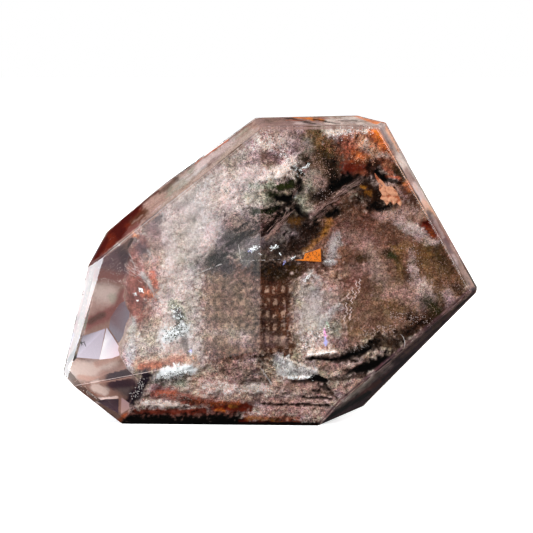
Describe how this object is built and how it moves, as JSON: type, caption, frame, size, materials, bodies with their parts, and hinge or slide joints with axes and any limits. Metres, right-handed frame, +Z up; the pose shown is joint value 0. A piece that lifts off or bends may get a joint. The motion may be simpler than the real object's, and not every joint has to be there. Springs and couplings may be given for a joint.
{
  "type": "polished garden quartz crystal",
  "caption": "Faceted, polished piece of clear quartz on a flat cut foot, filled with pinkish brown, green and rust-coloured minerals that look like a small landscape.",
  "frame": {"origin": "on the resting face, under the middle of the stone's bounding box", "axes": "+Z up, +X along the stone's longest extent towards its pointed end, -Y out of the broad front that is folded into two large faces"},
  "size_m": [0.0452, 0.0228, 0.0336],
  "materials": {
    "garden_quartz": "polished",
    "clear_quartz": "polished",
    "mineral_garden": "matte"
  },
  "bodies": {
    "root": {"quartz_crystal": "garden_quartz"}
  },
  "joints": []
}
